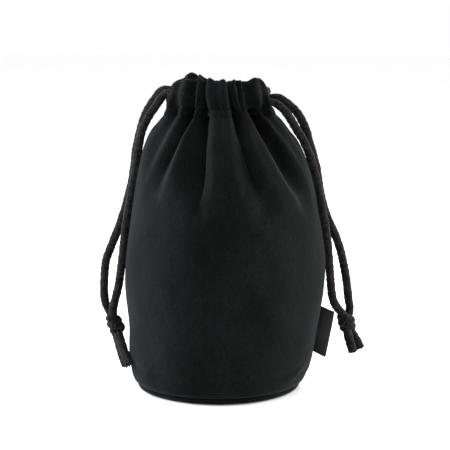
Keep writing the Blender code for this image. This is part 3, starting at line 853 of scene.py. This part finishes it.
LEFT_TAILS = {
    "front": [(-47.0, -2.0, 25.6), (-45.6, -4.2, 21.8), (-43.6, -8.2, 17.2), (-41.2, -12.2, 12.8)],
    "back": [(-48.2, 0.4, 25.2), (-47.0, -1.2, 21.4), (-45.2, -5.2, 16.6), (-43.0, -9.4, 11.6)],
}
RIGHT_TAILS = {
    "front": [(60.8, -1.0, 27.2), (61.4, -2.2, 23.8), (62.4, -2.8, 20.4), (63.5, -3.2, 16.6)],
    "back": [(62.2, 0.8, 27.2), (63.8, 1.4, 24.0), (65.8, 1.6, 20.8), (67.4, 1.8, 17.4)],
}


def frayed_end(route, radius, seed):
    """Short loose fibres at a cord's cut end."""
    rng = np.random.default_rng(seed)
    tip = route[-1]
    along = route[-1] - route[-3]
    along /= np.linalg.norm(along)
    side = np.cross(along, [0.3, 0.9, 0.2])
    side /= np.linalg.norm(side)
    other = np.cross(along, side)
    parts = []
    for _ in range(FIBRES):
        angle, share = rng.uniform(0, 2 * math.pi), math.sqrt(rng.uniform(0.05, 1.0))
        out = side * math.cos(angle) + other * math.sin(angle)
        root = tip + out * radius * share * 0.85 - along * 0.5
        length = rng.uniform(0.7, 1.5)
        lean = out * rng.uniform(0.1, 0.6) * share + side * rng.uniform(-0.2, 0.2)
        steps = np.linspace(0, 1, 4)
        spine = root + along * (length * steps)[:, None] + lean * (length * steps**2)[:, None]
        rings = []
        for k, p in enumerate(spine):
            r = 0.17 * (1 - 0.6 * steps[k])
            rings.append([p + side * r * math.cos(a) + other * r * math.sin(a)
                          for a in np.linspace(0, 2 * math.pi, 5, endpoint=False)])
        parts.append(tube_mesh(np.array(rings)))
    return joined(parts)


def tail_piece(name, points, finish, seed):
    route = smooth_route(points)
    body = tube_mesh(braid_rings(route, TAIL_WIDE, TAIL_THICK))
    fringe = frayed_end(route, TAIL_WIDE / 2, seed)
    return mesh_piece(name, *joined([body, fringe]), finish, "cord")


KNOT_RADIUS = 2.35  # of a wrap's middle line
WRAP_TURNS = 0.62  # either way from a wrap's middle
TUCK_FROM, TUCK_OVER, TUCK = 0.46, 0.16, 1.4  # turns where a wrap's end goes in, and how far in
WRAPS_APART, WRAP_RISE, WRAP_TILT = 2.75, 2.6, 0.9  # along the knot's axis


def knot_piece(name, centre, lean, finish, size=(1.0, 1.0), turn=0.0):
    """A tight overhand knot of a doubled cord: two wraps round the strands' core."""
    parts = []
    axis = np.array([math.sin(math.radians(-lean)), 0.0, -math.cos(math.radians(-lean))])
    side = np.array([-axis[2], 0.0, axis[0]])
    depth = np.array([0.0, 1.0, 0.0])
    for j in (0, 1):
        spine = []
        for t in np.linspace(-WRAP_TURNS, WRAP_TURNS, 40):
            a = 2 * math.pi * t + math.radians(turn)
            end = max(0.0, (abs(t) - TUCK_FROM) / TUCK_OVER)
            r = KNOT_RADIUS - TUCK * end**1.5
            along = (j - 0.5) * WRAPS_APART + WRAP_RISE * t + WRAP_TILT * math.sin(a + 0.6)
            spine.append(side * (r * size[0] * math.cos(a)) + depth * (r * 0.8 * size[0] * math.sin(a))
                         + axis * along * size[1])
        route = smooth_route(spine)
        parts.append(tube_mesh(braid_rings(route, 3.6, 3.0, flat_axis=tuple(axis), taper=(1.5, 1.5))))
    for offset in (-0.9, 0.9):
        core = [depth * offset + axis * s * size[1] for s in (-5.0, -2.5, 0.0, 2.5, 5.0)]
        route = smooth_route(core)
        parts.append(tube_mesh(braid_rings(route, 3.0, 2.6, taper=(1.0, 1.0))))
    points, faces = joined(parts)
    return mesh_piece(name, points + np.array(centre), faces, finish, "cord")


# ---------------------------------------------------------------- small sewn pieces


def stitch_line(name, rows, finish):
    """Short stitches that lie along a row of cloth points."""
    run = run_along(rows)
    parts = []
    at = STITCH_PITCH
    while at < run[-1] - STITCH_PITCH:
        share = np.linspace(at - STITCH_LENGTH / 2, at + STITCH_LENGTH / 2, 7)
        spine = np.stack([np.interp(share, run, rows[:, i]) for i in range(3)], axis=-1)
        along = spine[-1] - spine[0]
        along /= np.linalg.norm(along)
        up = np.array([0.0, 0.0, 1.0])
        out = np.cross(up, along)
        out /= np.linalg.norm(out)
        rings = []
        for k, p in enumerate(spine):
            lift = math.sin(math.pi * k / 6)
            r = 0.12 + 0.12 * lift
            middle = p + out * (STITCH_HEIGHT * (0.25 + 0.75 * lift) - 0.15)
            rings.append([middle + (out * math.cos(a) + up * math.sin(a)) * r
                          for a in np.linspace(0, 2 * math.pi, 6, endpoint=False)])
        parts.append(tube_mesh(np.array(rings)))
        at += STITCH_PITCH
    points, faces = joined(parts)
    return mesh_piece(name, points, faces, finish, "thread")


def base_piece(finish):
    """The round base cloth: flat below, rolled up to its seam."""
    around = 168  # points in each ring
    turn = np.linspace(0, 2 * math.pi, around, endpoint=False)
    rows = []
    profile = [  # height, and distance in from the outline
        (2.5, 2.4), (2.85, 1.7), (2.75, 1.05), (2.35, 0.7), (1.8, 0.55), (1.3, 0.65), (0.8, 1.0),
        (0.4, 1.6), (0.12, 2.4), (0.02, 3.4), (0.0, 5.0), (0.0, 9.0), (0.0, 16.0), (0.0, 24.0),
        (0.0, 31.0), (0.0, 36.0),
    ]
    for z, inset in profile:
        left, right, depth = outline_at(max(z, 2.2))
        middle, half = (left + right) / 2, (right - left) / 2
        near_seam = math.exp(-(((z - 2.9) / 1.3) ** 2)) * (inset < 3)
        reach = inset - 0.10 * np.sin(turn * 57 + 2.0 * np.sin(turn * 5)) * near_seam
        rows.append(np.column_stack([
            middle + (half - reach) * np.cos(turn), (depth - reach) * np.sin(turn), np.full(around, z),
        ]))
    points = np.vstack(rows)
    faces = [tuple(reversed(f)) for f in grid_faces(len(rows), around, wrap=True)]
    tip = len(points)
    points = np.vstack([points, [[0.4, 0.0, 0.0]]])
    first = (len(rows) - 1) * around
    for c in range(around):
        faces.append((first + (c + 1) % around, first + c, tip))
    obj = mesh_piece("base_cloth", points, faces, finish, "velveteen")
    solid = obj.modifiers.new("cloth", "SOLIDIFY")
    solid.thickness = 1.0 * MM
    solid.offset = -1.0
    return apply_modifiers(obj)


def label_piece(finish):
    """A ribbon folded double at its outer edge, both cut ends caught in the right seam."""
    inner_top, inner_low = np.array([48.15, 0.0, 38.2]), np.array([44.3, 0.0, 16.6])
    outer_top, outer_low = np.array([54.3, -1.6, 35.8]), np.array([50.3, -1.6, 14.0])
    rows = []
    for k in range(15):
        t = k / 14
        root = inner_top * (1 - t) + inner_low * t
        edge = outer_top * (1 - t) + outer_low * t
        wave = -0.5 * math.sin(2.4 * math.pi * t + 0.5)
        edge = edge + np.array([0.25 * math.sin(math.pi * t), wave, 0.0])
        row = []
        for s in np.linspace(0, 1, 12):
            belly = 0.30 + 0.4 * math.sin(math.pi * s * 0.9)
            row.append(root * (1 - s) + edge * s - np.array([0, belly, 0]))
        fold = edge + np.array([0.35, 0.0, 0.0])
        row.append(fold)
        for s in np.linspace(1, 0, 12):
            belly = 0.30 - 0.3 * math.sin(math.pi * s * 0.9)
            row.append(root * (1 - s) + edge * s + np.array([0, belly, 0]))
        rows.append(row)
    rows = np.array(rows)
    faces = grid_faces(rows.shape[0], rows.shape[1])
    obj = mesh_piece("label_ribbon", rows.reshape(-1, 3), faces, finish, "ribbon")
    solid = obj.modifiers.new("ribbon", "SOLIDIFY")
    solid.thickness = 0.28 * MM
    solid.offset = 0.0
    return apply_modifiers(obj)


# ---------------------------------------------------------------- assembly


EDGE_TURN = 2.4  # how far a side seam's edge is turned in


def turned_edges(rows, side):
    """Adds a narrow turned-in edge down each end of the rows, so that the side seams close."""
    ends = []
    for end, inward in ((rows[:, :1], EDGE_TURN), (rows[:, -1:], -EDGE_TURN)):
        edge = end.copy()
        edge[:, :, 0] += inward
        low = np.abs(edge[:, :, 1]) < 1.0
        edge[:, :, 1] = np.where(low, -0.15 * side, edge[:, :, 1] - 0.4 * side)
        ends.append(edge)
    return np.concatenate([ends[0], rows, ends[1]], axis=1)


def cloth_half(name, rows, side, finish):
    """One half's cloth as a thick, smooth piece."""
    rows = turned_edges(rows, side)
    count, width, _ = rows.shape
    faces = grid_faces(count, width)
    if side > 0:
        faces = [tuple(reversed(f)) for f in faces]
    obj = mesh_piece(name, rows.reshape(-1, 3), faces, finish, "velveteen")
    solid = obj.modifiers.new("cloth", "SOLIDIFY")
    solid.thickness = 0.9 * MM
    solid.offset = -1.0
    fine = obj.modifiers.new("fine", "SUBSURF")
    fine.levels = fine.render_levels = 1
    return apply_modifiers(obj)


def dress_frame(braid, board):
    """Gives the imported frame's own cords and board the looks of the visible ones."""
    for name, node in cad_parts.items():
        if "cord" in name or "knot" in name:
            finish = braid
        elif name == "base_stiffener":
            finish = board
        else:
            continue
        node.data.materials.clear()
        node.data.materials.append(finish)


def sew_walls(velvet, thread):
    halves = [wall_points(FRONT_FOLDS, -1), wall_points(BACK_FOLDS, 1)]
    halves = relax_walls(*halves)
    for name, rows, side in (("front", halves[0], -1), ("back", halves[1], 1)):
        cloth = cloth_half(f"{name}_cloth", rows, side, velvet)
        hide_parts(f"{name}_panel", f"{name}_casing")
        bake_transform(cloth)
        heights = rows[:OUTER_ROWS, rows.shape[1] // 2, 2]
        for row_height, tag in zip(STITCH_ROWS, ("upper", "lower")):
            k = int(np.argmin(np.abs(heights - row_height)))
            stitches = stitch_line(f"{name}_{tag}_stitches", rows[k] if side < 0 else rows[k][::-1], thread)
            if tag == "upper":
                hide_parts(f"{name}_casing_thread")
            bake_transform(stitches)


def sew_base_and_label(velvet, satin):
    base = base_piece(velvet)
    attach(base, "bag")
    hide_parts("base_disc")
    label = label_piece(satin)
    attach(label, "label")
    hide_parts("label_tab")


def lay_cord_end(tag, which, way, level, points, braid):
    """One end of a cord: its run in the casing, its exit and its hanging strand, down to the knot."""
    front = -1 if which == "front" else 1
    inner = smooth_route([(way * x, channel_point(way * x, front), level) for x in RUN_STATIONS])
    run = cord_piece(f"{tag}_{which}_cord_run", inner, braid, RUN_WIDE, RUN_THICK)
    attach(run, f"{which}_mouth")
    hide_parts(f"{tag}_cord_{which}_run")
    inside = [(way * x, channel_point(way * x, front), level) for x in EXIT_STATIONS]
    whole = smooth_route(inside + points)
    split = int(np.argmin(np.linalg.norm(whole - np.array(points[1]), axis=1)))
    rings = braid_rings(whole, CORD_WIDE, CORD_THICK)
    stub = mesh_piece(f"{tag}_{which}_cord_exit", *tube_mesh(rings[: split + 1]), braid, "cord")
    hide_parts(f"{tag}_cord_{which}_exit")
    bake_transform(stub)
    strand = mesh_piece(f"{tag}_{which}_cord", *tube_mesh(rings[split:]), braid, "cord")
    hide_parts(f"{tag}_cord_{which}_strand")
    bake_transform(strand)


def lay_cords(braid):
    exits = {
        "left": (-1, LEFT_LEVEL, {"front": LEFT_FRONT, "back": LEFT_BACK}, LEFT_TAILS),
        "right": (1, RIGHT_LEVEL, {"front": RIGHT_FRONT, "back": RIGHT_BACK}, RIGHT_TAILS),
    }
    knots = {
        "left": knot_piece("left_knot_tied", (-48.4, -0.3, 29.2), -24.0, braid, (0.96, 1.18), 35.0),
        "right": knot_piece("right_knot_tied", (60.6, -0.2, 30.2), -8.0, braid, (1.10, 1.0), -20.0),
    }
    for tag, (way, level, routes, tail_routes) in exits.items():
        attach(knots[tag], f"{tag}_lift")
        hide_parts(f"{tag}_knot")
        for k, (which, points) in enumerate(tail_routes.items()):
            tail = tail_piece(f"{tag}_{which}_tail", points, braid, seed=11 + k + 5 * way)
            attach(tail, f"{tag}_lift")
            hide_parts(f"{tag}_cord_{which}_tail")
        for which, points in routes.items():
            lay_cord_end(tag, which, way, level, points, braid)


def lay_bights(braid):
    """The bend of each cord across the far slit, from one casing to the other."""
    for tag, x, way, level in (("left", 21.6, 1, LEFT_LEVEL), ("right", -21.2, -1, RIGHT_LEVEL)):
        start, bulge = x - 4.0 * way, 1.2 * way
        points = [
            (start, channel_point(start, -1), level), (x, -6.0, level), (x + 0.8 * bulge, -4.3, level),
            (x + bulge, 0.0, level),
            (x + 0.8 * bulge, 4.3, level), (x, 6.0, level), (start, channel_point(start, 1), level),
        ]
        loop = cord_piece(
            f"{tag}_cord_crossing", smooth_route(points), braid, flat_axis=(0.0, 0.0, 1.0),
        )
        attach(loop, "bag")
        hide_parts(f"{tag}_cord_bight")


def set_stage():
    reach = 3000.0
    corners = [(-reach, -reach, 0), (reach, -reach, 0), (reach, reach, 0), (-reach, reach, 0)]
    floor = mesh_piece("floor", corners, [(0, 1, 2, 3)], pale_floor(), "velveteen", smooth=False)
    del floor["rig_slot"]  # the floor is no piece of the part
    world = bpy.data.worlds.new("studio")
    world.use_nodes = True
    sky = world.node_tree.nodes["Background"].inputs
    sky["Color"].default_value = (1.0, 1.0, 1.0, 1.0)
    sky["Strength"].default_value = 1.0
    bpy.context.scene.world = world
    bpy.context.scene.view_settings.view_transform = "Standard"
    middle = (0.0, 0.0, 0.08)
    area_light("left_box", (-0.80, 0.02, 0.34), middle, (0.5, 0.8), 23.0, (0.90, 0.97, 1.0))
    area_light("right_box", (0.85, 0.05, 0.36), middle, (0.5, 0.8), 19.0, (1.0, 1.0, 0.96))
    area_light("top_box", (0.0, -0.05, 0.9), middle, (0.7, 0.7), 3.0)


def main():
    make_camera()
    velvet, braid, satin, thread = velveteen(), braid_cotton(), satin_ribbon(), sewing_thread()
    dress_frame(braid, fibre_board())
    sew_walls(velvet, thread)
    sew_base_and_label(velvet, satin)
    lay_cords(braid)
    lay_bights(braid)
    set_stage()


main()
